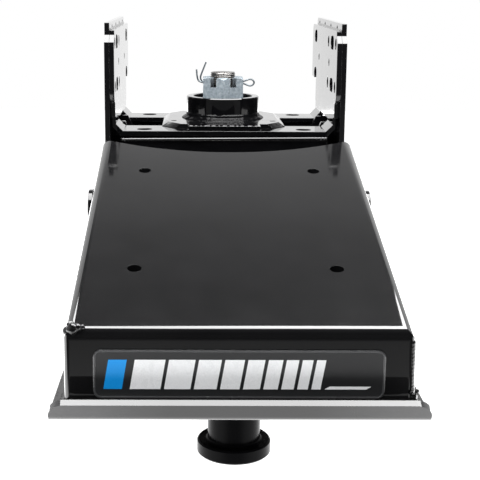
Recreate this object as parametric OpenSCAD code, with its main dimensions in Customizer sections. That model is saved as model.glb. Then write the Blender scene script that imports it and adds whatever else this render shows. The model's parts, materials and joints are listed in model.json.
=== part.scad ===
// Pivoting fifth wheel pin box.
// The arm carries the kingpin at its front and swings about a turret at its rear.
// The turret bracket bolts to the trailer frame through its two wings.
// Origin: on the kingpin axis, at the underside of the skid plate.
// +X is to the right seen from the truck, +Y runs to the rear, +Z is up. Millimetres.

/* [Kingpin] */
// Diameter of the neck that the coupler jaws close on
neck_d = 50.8; // [50:0.1:51]
// Diameter of the collar above the neck
collar_d = 73; // [71:0.5:73]
// Diameter of the flange below the neck
flange_d = 71.4; // [70:0.1:72]
// Length of the collar below the skid plate
collar_len = 35; // [34:0.5:36]
// Length of the neck
neck_len = 35; // [34:0.5:36]
// Thickness of the bottom flange
flange_len = 14; // [12:0.5:16]

/* [Arm] */
// Outer width of the formed arm
arm_w = 302; // [296:1:308]
// Distance from the kingpin axis to the front face
arm_front = 110; // [104:1:116]
// Height of the front face above the skid underside
arm_front_h = 73.3; // [70:0.1:78]
// Slope of the top plate, degrees
arm_slope = 13.3; // [12.5:0.1:14]
// Thickness of the formed plate
arm_t = 6.35; // [5:0.05:7]
// Outside radius of the plate bends
arm_bend_r = 12; // [10:0.5:14]
// Radius of the concave rear edge of the top plate
arch_r = 300; // [296:1:306]
// Distance across between the holes in the top plate
top_hole_dx = 191; // [170:1:200]
// Distance along the arm between the holes in the top plate
top_hole_dy = 232; // [200:1:240]
// Diameter of the holes in the top plate
top_hole_d = 14; // [10:0.5:16]

/* [Skid plate] */
// Width of the skid plate
skid_w = 323; // [318:0.5:328]
// Thickness of the skid plate
skid_t = 6.35; // [5:0.05:8]
// Distance from the kingpin axis to where the front lip starts to turn up
lip_y = 126.5; // [122:0.5:130]
// Angle by which the front lip turns up, degrees
lip_angle = 60; // [50:1:70]
// Length of the straight part of the front lip
lip_len = 14.4; // [12:0.1:18]

/* [Turret] */
// Distance from the kingpin axis to the turret axis
pivot_y = 559; // [556:1:562]
// Outside diameter of the bearing housing
housing_od = 101.6; // [101:0.1:102]
// Bore of the bearing housing
housing_id = 82.6; // [82:0.1:83]
// Height of the top rim of the bearing housing
housing_top = 207.7; // [205:0.1:210]
// Diameter of the spindle where it runs in the bushings
spindle_d = 63.5; // [63:0.1:64]
// Radial running clearance of the spindle in its bushings
run_gap = 0.05; // [0.02:0.01:0.09]
// Height of the top face of the cross straps
deck_z = 170.7; // [170:0.1:171.5]
// Distance across between the holes in the straps
strap_hole_dx = 213.2; // [205:0.1:220]
// Distance along between the holes in the straps
strap_hole_dy = 173.8; // [172:0.1:176]
// Diameter of the holes in the straps
strap_hole_d = 20; // [16:0.5:22]

/* [Wings] */
// Width over the outer faces of the two wings
wing_w = 312; // [309:1:315]
// Thickness of each of the two plies of a wing
ply_t = 6.35; // [5.5:0.05:6.5]
// Length of a wing along the trailer
wing_len = 304; // [300:1:308]
// Height of the top edge of the wings
wing_top = 312; // [306:1:318]
// Distance along the trailer between the bolt slots
slot_dy = 203.2; // [200:0.1:206]
// Distance in height between the two rows of bolt slots
slot_dz = 56; // [54:1:58]
// Width of a bolt slot
slot_w = 18; // [16:0.5:20]
// Length of a bolt slot
slot_len = 34; // [28:1:36]

/* [Wedge] */
// Length of the wedge that keeps the arm in line with the truck
wedge_len = 150; // [140:1:155]
// Width of the wedge at its nose
wedge_nose_w = 58; // [54:1:62]
// Width of the wedge at its tail
wedge_tail_w = 118; // [112:1:124]
// Depth of the wedge below the skid plate
wedge_h = 40; // [36:1:44]
// Travel of the wedge in its slots, each way
wedge_travel = 10; // [6:1:10]

/* [Hidden] */
$fn = 96;

powder_black = [0.07, 0.07, 0.075];
gloss_black = [0.04, 0.04, 0.045];
zinc = [0.72, 0.76, 0.8];
steel = [0.5, 0.5, 0.52];
bronze = [0.66, 0.48, 0.25];
big = 1200;

// Kingpin: its seat in the plates is a step wider than its collar
seat_d = collar_d + 1;
seat_gap = 0.2;
doubler_t = 12.7;
doubler_top = skid_t + doubler_t;
pin_head_d = 112;
pin_head_t = 14.3;

// Heights of the rear base, bottom to top
base_top = 72;
turntable_t = 12.7;
base_under = base_top - turntable_t;
thrust_ring_t = 6;
bracket_z = base_top + thrust_ring_t + run_gap;
bracket_base_t = 9.5;
turntable_r = 165;

// The concave rear edge of the arm is centred behind the turret axis
arch_y = pivot_y + 28;
arm_half = arm_w / 2;
arm_in = arm_half - arm_t;
skid_rear = 420;
lip_bend_r = 12;
lip_corner_r = 14;
arm_corner_r = 6;
belly_t = 6.35;
base_rail_y = 300;
foot_hole_d = 110;

// Tie tube through the arm
tube_y = 225;
tube_z = 112;
tube_od = 42.2;
tube_wall = 4.5;
tube_cap_t = 6;
tube_half = 158.5;

// Webs inside the arm
rib_x = 66;
rib_t = 6.35;
rib_y0 = -90;
rib_y1 = 240;

// Bracket plates
wing_half = wing_w / 2;
ply_mid = wing_half - ply_t;
ply_in = ply_mid - ply_t;
wing_y0 = pivot_y - 131;
wing_y1 = wing_y0 + wing_len;
cradle_top = wing_top - 9.5;
strap_w = 59;
strap_hole_in = 20;
strap_front = pivot_y - strap_hole_dy / 2 - strap_hole_in;
strap_rear = 2 * pivot_y - strap_front - strap_w;
strap_bend = 9;
strap_z = deck_z - ply_t;
channel_h = strap_z - bracket_z - bracket_base_t;
channel_w = 54;
channel_r = 8;
slot_y = wing_y0 + wing_len / 2 + 5.5;
slot_z = wing_top - 54;
wing_foot_y1 = strap_rear + strap_w + 10;
wing_foot_r = 14;
wing_foot_step = 20;
wing_top_r = 12;
wing_step = 9;
wing_step_z = wing_top - 24.5;
wing_full_z = deck_z - 12;
cradle_full_z = deck_z + 52;
strap_root_h = 11;
strap_window = 2;
small_hole_d = 15;
small_hole_dy = [-38, 42];
pilot_hole_d = 10;
pilot_hole_dy = [-70, 55];
top_row_d = 13;
top_row_y = slot_y + 8;
top_row_z = wing_top - 10;
top_row_dy = 70.7;

// Cap plate around the housing
cap_side_x = 75;
cap_side_y = 54;
cap_end_x = 58;
cap_end_y = 79;
cap_bevel = 9;
cap_tongue_x = 48;
cap_tongue_y = 104;
grease_hole_d = 8;
grease_hole_x = 68;
grease_hole_y = 44;

// Uprights at the channel ends
gusset_foot = 55;
gusset_head = 14;
gusset_h = 88;
gusset_gap = 9;

// Spindle stack
shoulder_z = 193.1;
nut_washer_t = 6;
nut_z = shoulder_z + nut_washer_t;
nut_af = 55.6;
nut_h = 34.5;
stud_d = 34.9;
stud_top = 240.6;
cotter_z = nut_z + nut_h - 7.5;
cotter_d = 4.4;
washer_od = 76;
bushing_len = 50;
upper_bushing_z = 145;
thrust_washer_z = 187;
grease_z = 192;
grease_d = 7.8;

// Fasteners of the wedge
wedge_nose_y = 62;
bolt_d = 12.7;
bolt_y = [102, 172];
bolt_x = 24;
wedge_gap = 0.05;
head_z = -27;
head_slot = 24;
head_af = 19;
head_h = 7.9;
washer_t = 2.5;
washer_z = head_z + 11 - wedge_gap - washer_t;

// ---------------------------------------------------------------- helpers

// Height of the outer face of the top plate above a point y
function top_z(y) = arm_front_h + (y + arm_front) * tan(arm_slope);

// A rectangle from corner (x0, y0) to corner (x1, y1)
module rect(x0, y0, x1, y1) {
    translate([x0, y0])
        square([x1 - x0, y1 - y0]);
}

// A rectangle with its own corner radius at each end of its top edge
module round_top_rect(x0, y0, x1, y1, r) {
    rect(x0, y0, x1, y1 - r);
    rect(x0 + r, y0, x1 - r, y1);
    translate([x0 + r, y1 - r])
        circle(r);
    translate([x1 - r, y1 - r])
        circle(r);
}

// A rectangle with all four corners rounded
module round_rect(x0, y0, x1, y1, r) {
    rect(x0, y0 + r, x1, y1 - r);
    rect(x0 + r, y0, x1 - r, y1);
    for (x = [x0 + r, x1 - r])
        for (y = [y0 + r, y1 - r])
            translate([x, y])
                circle(r);
}

// A slot of the given end-to-end length and width, along the first axis
module slot_2d(length, width) {
    run = length - width;
    square([run, width], center = true);
    for (s = [-1, 1])
        translate([s * run / 2, 0])
            circle(d = width);
}

// Stands a 2D outline drawn in (y, z) upright and gives it thickness along X
module along_x(x0, x1) {
    translate([x0, 0, 0])
        rotate([90, 0, 90])
            linear_extrude(x1 - x0)
                children();
}

// Stands a 2D outline drawn in (x, z) upright and gives it thickness along Y
module along_y(y0, y1) {
    translate([0, y1, 0])
        rotate([90, 0, 0])
            linear_extrude(y1 - y0)
                children();
}

// A flat plate from a 2D outline drawn in (x, y)
module plate(z0, z1) {
    translate([0, 0, z0])
        linear_extrude(z1 - z0)
            children();
}

// A round bar along Z
module bar(d, z0, z1, x = 0, y = 0) {
    translate([x, y, z0])
        cylinder(d = d, h = z1 - z0);
}

// A bar along Z with a chamfer at its top
module chamfered_bar(d, z0, z1, c) {
    bar(d, z0, z1 - c);
    translate([0, 0, z1 - c])
        cylinder(d1 = d, d2 = d - 2 * c, h = c);
}

// A hexagonal bar with two corners on the Y axis
module hex_bar(af, z0, z1) {
    translate([0, 0, z0])
        rotate(30)
            cylinder(d = af / cos(30), h = z1 - z0, $fn = 6);
}

// ---------------------------------------------------------------- arm

// Side view of the arm envelope, set in from the outer faces by inset
module arm_side(inset) {
    r = arm_bend_r - inset;
    y0 = -arm_front + inset;
    cz = arm_front_h + arm_bend_r * tan(arm_slope) - arm_bend_r / cos(arm_slope);
    cy = -arm_front + arm_bend_r;
    y1 = 400;
    drop = inset / cos(arm_slope);
    polygon([
        [y0, skid_t],
        [y0, cz],
        [cy, cz],
        [cy - r * sin(arm_slope), cz + r * cos(arm_slope)],
        [y1, top_z(y1) - drop],
        [y1, skid_t]
    ]);
    translate([cy, cz])
        circle(r);
}

// Bar along the slope of the top plate with its two top edges rounded
module arm_slope_bar(inset) {
    half = arm_half - inset;
    translate([0, -arm_front, arm_front_h])
        rotate([arm_slope, 0, 0])
            translate([0, 0, -inset])
                along_y(-200, 700)
                    round_top_rect(-half, -300, half, 0, arm_bend_r - inset);
}

module arm_envelope(inset) {
    intersection() {
        along_x(-arm_half + inset, arm_half - inset)
            arm_side(inset);
        arm_slope_bar(inset);
    }
}

// The space inside the formed plate, in front of the concave rear edge
module arm_cavity() {
    difference() {
        arm_envelope(arm_t);
        translate([0, arch_y, 0])
            cylinder(r = arch_r, h = big, $fn = 180);
    }
}

// Rounds the two upright front corners of the arm, where front and sides are welded
module front_corner_cut() {
    r = arm_corner_r;
    for (s = [0, 1])
        mirror([s, 0, 0])
            translate([arm_half - r, -arm_front + r, 0])
                linear_extrude(big)
                    difference() {
                        rect(0, -r - 1, r + 1, 0);
                        circle(r);
                    }
}

// Low side rail of the rear base, from the arch back to the turret axis
module base_rail(side) {
    x = side * (arm_half - arm_t / 2);
    translate([x - arm_t / 2, base_rail_y, skid_t])
        cube([arm_t, pivot_y - base_rail_y, base_under - skid_t]);
}

module arm_shell() {
    color(powder_black)
        difference() {
            union() {
                difference() {
                    arm_envelope(0);
                    along_x(-arm_in, arm_in)
                        arm_side(arm_t);
                    translate([0, arch_y, base_under])
                        cylinder(r = arch_r, h = big, $fn = 180);
                    translate([-big / 2, pivot_y - 200, 0])
                        cube([big, big, big]);
                }
                intersection() {
                    arm_envelope(0);
                    inner_bend_fill();
                }
                base_rail(-1);
                base_rail(1);
            }
            for (x = [-1, 1])
                for (y = [0, top_hole_dy])
                    bar(top_hole_d, skid_t + 10, big, x * top_hole_dx / 2, y);
            cross_tube_hole();
            front_corner_cut();
        }
}

// Metal between the square cavity and the inside radius of the side bends
module inner_bend_fill() {
    difference() {
        intersection() {
            along_x(-arm_in, arm_in)
                arm_side(arm_t);
            translate([0, -arm_front, arm_front_h])
                rotate([arm_slope, 0, 0])
                    translate([-big / 2, -100, -arm_bend_r])
                        cube([big, big, big]);
        }
        arm_slope_bar(arm_t);
        translate([0, arch_y, 0])
            cylinder(r = arch_r, h = big, $fn = 180);
    }
}

module cross_tube_hole() {
    translate([-big / 2, tube_y, tube_z])
        rotate([0, 90, 0])
            cylinder(d = tube_od + 0.4, h = big);
}

module cross_tube() {
    color(powder_black)
        translate([-tube_half, tube_y, tube_z])
            rotate([0, 90, 0])
                difference() {
                    cylinder(d = tube_od, h = 2 * tube_half);
                    translate([0, 0, tube_cap_t])
                        cylinder(d = tube_od - 2 * tube_wall, h = 2 * (tube_half - tube_cap_t));
                }
}

// Plan of the rear base: straight sides, a round rear end and the concave front
module base_plan(half, rear_r) {
    difference() {
        union() {
            rect(-half, arch_y - arch_r, half, pivot_y);
            translate([0, pivot_y])
                circle(rear_r, $fn = 180);
        }
        difference() {
            rect(-half - 1, 0, half + 1, pivot_y - 200);
            translate([0, arch_y])
                circle(arch_r, $fn = 180);
        }
    }
}

module turntable_plate() {
    color(powder_black)
        difference() {
            plate(base_under, base_top)
                base_plan(arm_half, turntable_r);
            bar(90.2, 0, big, 0, pivot_y);
        }
}

module belly_plate() {
    drain_x = 105;
    drain_dy = 90;
    drain_d = 16;
    color(powder_black)
        difference() {
            plate(skid_t - belly_t, skid_t)
                intersection() {
                    union() {
                        rect(-arm_half, skid_rear, arm_half, pivot_y);
                        translate([0, pivot_y])
                            circle(arm_half, $fn = 180);
                    }
                    rect(-big, skid_rear, big, big);
                }
            bar(foot_hole_d, -1, big, 0, pivot_y);
            for (x = [-drain_x, drain_x])
                bar(drain_d, -1, big, x, pivot_y - drain_dy);
        }
}

module rear_wall() {
    color(powder_black)
        plate(skid_t, base_under)
            difference() {
                translate([0, pivot_y])
                    circle(arm_half, $fn = 180);
                translate([0, pivot_y])
                    circle(arm_in, $fn = 180);
                rect(-big, -big, big, pivot_y);
            }
}

// Curved wall that closes the arm behind its top plate
module arch_wall() {
    color(powder_black)
        intersection() {
            arm_envelope(arm_t);
            plate(skid_t, big)
                difference() {
                    translate([0, arch_y])
                        circle(arch_r + arm_t, $fn = 180);
                    translate([0, arch_y])
                        circle(arch_r, $fn = 180);
                    rect(-big, arch_y - 150, big, big);
                }
        }
}

// Everything above a surface set in from the underside of the skid plate and its lip,
// drawn in (y, z); over makes it reach past the plate's ends
module skid_side(inset, over) {
    r = lip_bend_r - inset;
    y_rear = skid_rear + over;
    foot = [-lip_y - r * sin(lip_angle), lip_bend_r - r * cos(lip_angle)];
    tip = foot + (lip_len + over) * [-cos(lip_angle), sin(lip_angle)];
    back = tip + 60 * [sin(lip_angle), cos(lip_angle)];
    polygon([[-lip_y, inset], [y_rear, inset], [y_rear, back[1]], back, tip, foot]);
    translate([-lip_y, lip_bend_r])
        circle(r);
}

// What is cut off to round one upper corner of the lip, through its thickness
module lip_corner(side) {
    r = lip_corner_r;
    translate([0, -lip_y, lip_bend_r])
        rotate([-lip_angle, 0, 0])
            translate([side * (skid_w / 2 - r), r - lip_len, -lip_bend_r - 1])
                linear_extrude(skid_t + 2)
                    difference() {
                        translate([side * (r + 1) / 2, -(r + 1) / 2])
                            square(r + 1, center = true);
                        circle(r);
                    }
}

module skid_plate() {
    color(powder_black)
        difference() {
            along_x(-skid_w / 2, skid_w / 2)
                difference() {
                    skid_side(0, 0);
                    skid_side(skid_t, 1);
                }
            lip_corner(-1);
            lip_corner(1);
            bar(seat_d + seat_gap, -1, big);
            for (x = [-bolt_x, bolt_x])
                for (y = bolt_y)
                    bar(bolt_d + 0.6, -1, big, x, y);
        }
}

// Two lengthwise webs between the doubler and the arch wall
module long_ribs() {
    color(powder_black)
        difference() {
            intersection() {
                arm_cavity();
                for (s = [-1, 1])
                    translate([s * (rib_x + rib_t / 2) - rib_t / 2, rib_y0, skid_t])
                        cube([rib_t, rib_y1 - rib_y0, big]);
            }
            cross_tube_hole();
        }
}

// Short cross webs that tie the lengthwise webs to the side walls
module bulkheads() {
    x0 = rib_x + rib_t;
    color(powder_black)
        intersection() {
            arm_cavity();
            for (s = [-1, 1])
                for (y = [60, 160])
                    translate([s > 0 ? x0 : -arm_in, y, skid_t])
                        cube([arm_in - x0, rib_t, big]);
        }
}

module kingpin_doubler() {
    color(powder_black)
        difference() {
            plate(skid_t, doubler_top)
                round_rect(-rib_x + 0.5, -80, rib_x - 0.5, 80, 12);
            bar(seat_d + seat_gap, 0, 100);
        }
}

module kingpin() {
    z_neck = -collar_len;
    z_flange = z_neck - neck_len;
    z_end = z_flange - flange_len;
    fillet = 2.5;
    color(powder_black)
        union() {
            bar(pin_head_d, doubler_top, doubler_top + pin_head_t);
            bar(seat_d, 0, doubler_top + 1);
            bar(collar_d, z_neck, 1);
            bar(neck_d, z_flange, z_neck);
            translate([0, 0, z_flange])
                rotate_extrude()
                    difference() {
                        rect(neck_d / 2 - 1, 0, neck_d / 2 + fillet, fillet);
                        translate([neck_d / 2 + fillet, fillet])
                            circle(fillet);
                    }
            bar(flange_d, z_end + 2, z_flange - 1.5);
            translate([0, 0, z_end])
                cylinder(d1 = flange_d - 4, d2 = flange_d, h = 2);
            translate([0, 0, z_flange - 1.5])
                cylinder(d1 = flange_d, d2 = flange_d - 3, h = 1.5);
        }
}

module badge_plate() {
    color([0.16, 0.16, 0.17])
        along_y(-arm_front - 1.5, -arm_front)
            round_rect(-125.5, 12.2, 125.5, 56.2, 7);
}

// ---------------------------------------------------------------- spindle stack

module spindle() {
    foot = 40;
    color(steel)
        translate([0, pivot_y, 0])
            difference() {
                union() {
                    bar(130, foot, base_under);
                    bar(90, base_under, base_top);
                    bar(spindle_d, base_top, shoulder_z - 1.5);
                    translate([0, 0, shoulder_z - 1.5])
                        cylinder(d1 = spindle_d, d2 = spindle_d - 3, h = 1.5);
                    chamfered_bar(stud_d, shoulder_z, stud_top, 1.6);
                }
                translate([-big / 2, 0, cotter_z])
                    rotate([0, 90, 0])
                        cylinder(d = cotter_d + 1.2, h = big);
                translate([0, 0, foot - 1])
                    cylinder(d = 20, h = 9);
            }
}

// Radial stiffeners under the turntable plate, around the foot of the spindle
module spindle_gussets() {
    color(powder_black)
        translate([0, pivot_y, 0])
            for (a = [45:90:315])
                rotate(a)
                    translate([66, -4, skid_t])
                        cube([74, 8, base_under - skid_t]);
}

module thrust_ring() {
    color([0.85, 0.85, 0.8])
        difference() {
            bar(250, base_top, base_top + thrust_ring_t, 0, pivot_y);
            bar(spindle_d + 6, 0, big, 0, pivot_y);
        }
}

module nut_washer() {
    color(zinc)
        difference() {
            bar(washer_od, shoulder_z, nut_z, 0, pivot_y);
            bar(stud_d + 0.4, 0, big, 0, pivot_y);
        }
}

module castle_nut() {
    crown = 13;
    slot = 9.4;
    r_c = nut_af / cos(30) / 2;
    top = nut_z + nut_h;
    color(zinc)
        translate([0, pivot_y, 0])
            difference() {
                intersection() {
                    hex_bar(nut_af, nut_z, top);
                    union() {
                        bar(2 * r_c + 1, nut_z + 2.5, top - 2.5);
                        translate([0, 0, nut_z])
                            cylinder(r1 = r_c - 3, r2 = r_c + 0.5, h = 2.5);
                        translate([0, 0, top - 2.5])
                            cylinder(r1 = r_c + 0.5, r2 = r_c - 3, h = 2.5);
                    }
                }
                bar(stud_d + 0.3, 0, big);
                for (a = [0, 60, 120])
                    rotate(a)
                        translate([-40, -slot / 2, top - crown])
                            cube([80, slot, crown + 1]);
            }
}

// A straight stretch of cotter wire between two points, with a rounded knuckle at its end
module wire(a, b, d) {
    v = b - a;
    l = norm(v);
    translate(a)
        rotate([0, acos(v[2] / l), atan2(v[1], v[0])])
            cylinder(d = d, h = l, $fn = 24);
    translate(b)
        sphere(d = d + 0.3, $fn = 24);
}

module cotter_pin() {
    half = nut_af / 2;
    leg = cotter_d / 2;
    eye_x = half + 1.5;
    near_leg = [[-half - 1, -leg / 2, 0], [-half - 7, -leg / 2, 3], [-half - 9, -leg / 2, 18]];
    far_leg = [[-half + 1, leg / 2, 1], [-half - 4, leg / 2, 7], [-half + 4, leg / 2, 28]];
    eye = [
        [-2, 0, 0.8], [4, 0, 3.2], [8.5, 0, 4.6], [12.5, 0, 3.4], [14.5, 0, 0],
        [12.5, 0, -3.4], [8.5, 0, -4.6], [4, 0, -3.2], [-2, 0, -0.8]
    ];
    color(zinc)
        translate([0, pivot_y, cotter_z]) {
            translate([-half, 0, 0])
                rotate([0, 90, 0])
                    cylinder(d = cotter_d, h = eye_x + half, $fn = 32);
            wire([-half + 3, -leg / 2, 0], near_leg[0], leg);
            for (i = [0:1])
                wire(near_leg[i], near_leg[i + 1], leg);
            for (i = [0:1])
                wire(far_leg[i], far_leg[i + 1], leg);
            translate([eye_x, 0, 0])
                for (i = [0:len(eye) - 2])
                    wire(eye[i], eye[i + 1], leg);
        }
}

// ---------------------------------------------------------------- wedge

module at_wedge_bolts() {
    for (x = [-bolt_x, bolt_x])
        for (y = bolt_y)
            translate([x, y, 0])
                children();
}

module wedge() {
    y0 = wedge_nose_y;
    y1 = y0 + wedge_len;
    color(powder_black)
        difference() {
            plate(-wedge_h, -wedge_gap)
                polygon([
                    [-wedge_nose_w / 2, y0],
                    [wedge_nose_w / 2, y0],
                    [wedge_nose_w / 2 + 6, y0 + 6],
                    [wedge_tail_w / 2, y1],
                    [-wedge_tail_w / 2, y1],
                    [-wedge_nose_w / 2 - 6, y0 + 6]
                ]);
            at_wedge_bolts() {
                rotate(90)
                    translate([0, 0, -big / 2])
                        linear_extrude(big)
                            slot_2d(bolt_d + 2 * wedge_travel + 1, bolt_d + 0.8);
                translate([0, 0, -big + head_z + 11])
                    rotate(90)
                        linear_extrude(big)
                            slot_2d(head_slot + 2 * wedge_travel + 1, head_slot + 1);
            }
        }
}

module wedge_washers() {
    color(zinc)
        at_wedge_bolts()
            difference() {
                bar(head_slot, washer_z, washer_z + washer_t);
                bar(bolt_d + 0.5, -100, 100);
            }
}

module wedge_bolts() {
    color(zinc)
        at_wedge_bolts() {
            bar(bolt_d, washer_z - 1, 24);
            difference() {
                hex_bar(head_af, washer_z - head_h, washer_z);
                translate([0, 0, washer_z - head_h - 1.1])
                    difference() {
                        cylinder(d = 2 * head_af, h = 2);
                        cylinder(d1 = head_af - 1, d2 = head_af + 2.5, h = 2);
                    }
            }
        }
}

// Nuts welded on top of the skid plate, behind the doubler
module wedge_weld_nuts() {
    color(zinc)
        at_wedge_bolts()
            difference() {
                hex_bar(head_af, skid_t, skid_t + 11);
                bar(bolt_d + 0.3, 0, 100);
            }
}

// ---------------------------------------------------------------- turret bracket

module bearing_housing() {
    rim = 1;
    color(gloss_black)
        translate([0, pivot_y, 0])
            difference() {
                chamfered_bar(housing_od, bracket_z, housing_top, rim);
                bar(housing_id, 0, big);
                translate([0, 0, housing_top - rim])
                    cylinder(d1 = housing_id, d2 = housing_id + 2 * rim + 0.01, h = rim + 0.01);
                translate([0, housing_od / 2, grease_z])
                    rotate([90, 0, 0])
                        cylinder(d = grease_d + 0.2, h = 40, center = true);
            }
}

module grease_fitting() {
    color(zinc)
        translate([0, pivot_y + housing_id / 2 + 1, grease_z])
            rotate([-90, 0, 0])
                union() {
                    cylinder(d = grease_d, h = housing_od / 2 - housing_id / 2);
                    translate([0, 0, 9])
                        cylinder(d = 11 / cos(30), h = 4, $fn = 6);
                    translate([0, 0, 8.4])
                        cylinder(d = grease_d, h = 1);
                    translate([0, 0, 13])
                        cylinder(d = 6, h = 5);
                    translate([0, 0, 18])
                        sphere(d = 6.6, $fn = 32);
                }
}

module bushing(z0, z1) {
    color(bronze)
        difference() {
            bar(housing_id, z0, z1, 0, pivot_y);
            bar(spindle_d + 2 * run_gap, 0, big, 0, pivot_y);
        }
}

module bushing_lower() {
    bushing(bracket_z + 2, bracket_z + 2 + bushing_len);
}

module bushing_upper() {
    bushing(upper_bushing_z, thrust_washer_z);
}

module thrust_washer() {
    color(bronze)
        difference() {
            bar(housing_id, thrust_washer_z, shoulder_z - run_gap, 0, pivot_y);
            bar(spindle_d + 1, 0, big, 0, pivot_y);
        }
}

module turret_base_plate() {
    color(gloss_black)
        difference() {
            plate(bracket_z, bracket_z + bracket_base_t)
                round_rect(-ply_mid, strap_front - 1, ply_mid, strap_rear + strap_w + 1, 6);
            bar(housing_od + 0.4, 0, big, 0, pivot_y);
        }
}

// Formed channel across the bracket, its web to the outside and its top corners
// cut back under the strap bends
module crossmember(y_web, facing) {
    z0 = bracket_z + bracket_base_t;
    z1 = z0 + channel_h;
    notch_x = 13;
    notch_z = 16;
    color(gloss_black)
        difference() {
            translate([0, y_web, 0])
                mirror([0, facing > 0 ? 0 : 1, 0])
                    difference() {
                        along_x(-ply_mid, ply_mid)
                            difference() {
                                round_rect(0, z0, channel_w + channel_r, z1, channel_r);
                                round_rect(ply_t, z0 + ply_t, big, z1 - ply_t, channel_r - ply_t);
                                rect(channel_w, z0 - 1, big, z1 + 1);
                            }
                        for (s = [-1, 1])
                            translate([s * ply_mid, 0, z1])
                                cube([2 * notch_x, big, 2 * notch_z], center = true);
                    }
            at_strap_holes()
                bar(strap_hole_d + 1, z0 + 20, big);
        }
}

module crossmember_front() {
    crossmember(strap_front + 1, 1);
}

module crossmember_rear() {
    crossmember(strap_rear + strap_w - 1, -1);
}

module at_strap_holes() {
    for (sx = [-1, 1])
        for (sy = [-1, 1])
            translate([sx * strap_hole_dx / 2, pivot_y + sy * strap_hole_dy / 2, 0])
                children();
}

// Short uprights that join the channel ends to the wings under the strap bends
module corner_gussets() {
    z0 = bracket_z + bracket_base_t;
    color(gloss_black)
        for (s = [-1, 1])
            for (y = [strap_front + strap_w + gusset_gap, strap_rear - gusset_gap - ply_t])
                along_y(y, y + ply_t)
                    polygon([
                        [s * ply_mid, z0],
                        [s * (ply_mid - gusset_foot), z0],
                        [s * (ply_mid - gusset_head), z0 + gusset_h],
                        [s * ply_mid, z0 + gusset_h]
                    ]);
}

// Slots and holes that both plies of a wing share, drawn in (y, z)
module wing_holes() {
    for (z = [slot_z - slot_dz / 2, slot_z + slot_dz / 2]) {
        for (s = [-1, 1])
            translate([slot_y + s * slot_dy / 2, z])
                slot_2d(slot_len, slot_w);
        for (dy = small_hole_dy)
            translate([slot_y - slot_dy / 2 + dy, z])
                circle(d = small_hole_d);
    }
    for (dy = pilot_hole_dy)
        translate([slot_y + dy, slot_z])
            circle(d = pilot_hole_d);
}

// Upper part of a wing's outline, with its front edge set back near the top
module wing_outline(z0, z1) {
    y_top = wing_y0 + wing_step;
    difference() {
        round_top_rect(wing_y0, z0, wing_y1, z1, wing_top_r);
        polygon([
            [wing_y0 - 1, wing_step_z - 1],
            [y_top, wing_step_z + wing_step],
            [y_top, z1 + 1],
            [wing_y0 - 1, z1 + 1]
        ]);
    }
}

// Inner ply of a wing, drawn in (y, z)
module cradle_side() {
    z_strap = deck_z + strap_bend;
    y_foot = wing_y0 + wing_foot_r;
    difference() {
        union() {
            wing_outline(cradle_full_z, cradle_top);
            rect(y_foot, z_strap + strap_root_h - 1, wing_foot_y1, cradle_full_z + 1);
            translate([y_foot, cradle_full_z])
                circle(wing_foot_r);
            rect(strap_front, z_strap, strap_rear + strap_w, z_strap + strap_root_h);
        }
        rect(strap_front + strap_w, 0, strap_rear, z_strap + strap_window);
        wing_holes();
    }
}

// One strap with its 45 degree corners, drawn in (x, z)
module strap_section() {
    k = ply_t * tan(22.5);
    z_bend = deck_z + strap_bend;
    polygon([
        [ply_in, z_bend + 0.5],
        [ply_in, z_bend],
        [ply_in - strap_bend, deck_z],
        [-ply_in + strap_bend, deck_z],
        [-ply_in, z_bend],
        [-ply_in, z_bend + 0.5],
        [-ply_mid, z_bend + 0.5],
        [-ply_mid, z_bend - k],
        [-ply_in + strap_bend - k, strap_z],
        [ply_in - strap_bend + k, strap_z],
        [ply_mid, z_bend - k],
        [ply_mid, z_bend + 0.5]
    ]);
}

module cradle() {
    color(gloss_black)
        difference() {
            union() {
                along_x(ply_in, ply_mid)
                    cradle_side();
                along_x(-ply_mid, -ply_in)
                    cradle_side();
                for (y = [strap_front, strap_rear])
                    along_y(y, y + strap_w)
                        strap_section();
            }
            at_strap_holes()
                bar(strap_hole_d, strap_z - 1, deck_z + 1);
            bar(housing_od + 0.4, 0, big, 0, pivot_y);
        }
}

// Outer ply of a wing
module wing_plate() {
    y_foot = wing_y0 + wing_foot_r;
    color(gloss_black)
        along_x(ply_mid, wing_half)
            difference() {
                union() {
                    wing_outline(wing_full_z, wing_top);
                    rect(y_foot, bracket_z, wing_foot_y1, wing_full_z + 1);
                    rect(wing_y0, bracket_z + wing_foot_r, wing_y0 + wing_foot_step, wing_full_z + 1);
                    translate([y_foot, bracket_z + wing_foot_r])
                        circle(wing_foot_r);
                }
                wing_holes();
                for (k = [-1.5:1:1.5])
                    translate([top_row_y + k * top_row_dy, top_row_z])
                        circle(d = top_row_d);
            }
}

module wing_plate_right() {
    wing_plate();
}

module wing_plate_left() {
    mirror([1, 0, 0])
        wing_plate();
}

// Plan of the cap plate at its top or, grown by bevel, at its foot
module cap_plan(bevel) {
    side = cap_side_x + bevel;
    end = cap_end_x + bevel;
    translate([0, pivot_y])
        polygon([
            [-side, -cap_side_y],
            [-end, -cap_end_y],
            [end, -cap_end_y],
            [side, -cap_side_y],
            [side, cap_side_y],
            [end, cap_end_y],
            [-end, cap_end_y],
            [-side, cap_side_y]
        ]);
}

// Plate on top of the straps that steadies the bearing housing
module cap_plate() {
    z1 = deck_z + ply_t;
    color(gloss_black)
        difference() {
            union() {
                hull() {
                    plate(deck_z, deck_z + 0.5)
                        cap_plan(cap_bevel);
                    plate(z1 - 0.5, z1)
                        cap_plan(0);
                }
                plate(deck_z, z1)
                    rect(-cap_tongue_x, pivot_y - cap_tongue_y, cap_tongue_x, pivot_y + cap_tongue_y);
            }
            bar(housing_od + 0.4, 0, big, 0, pivot_y);
            for (s = [-1, 1])
                bar(grease_hole_d, 0, big, s * grease_hole_x, pivot_y - grease_hole_y);
        }
}

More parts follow.
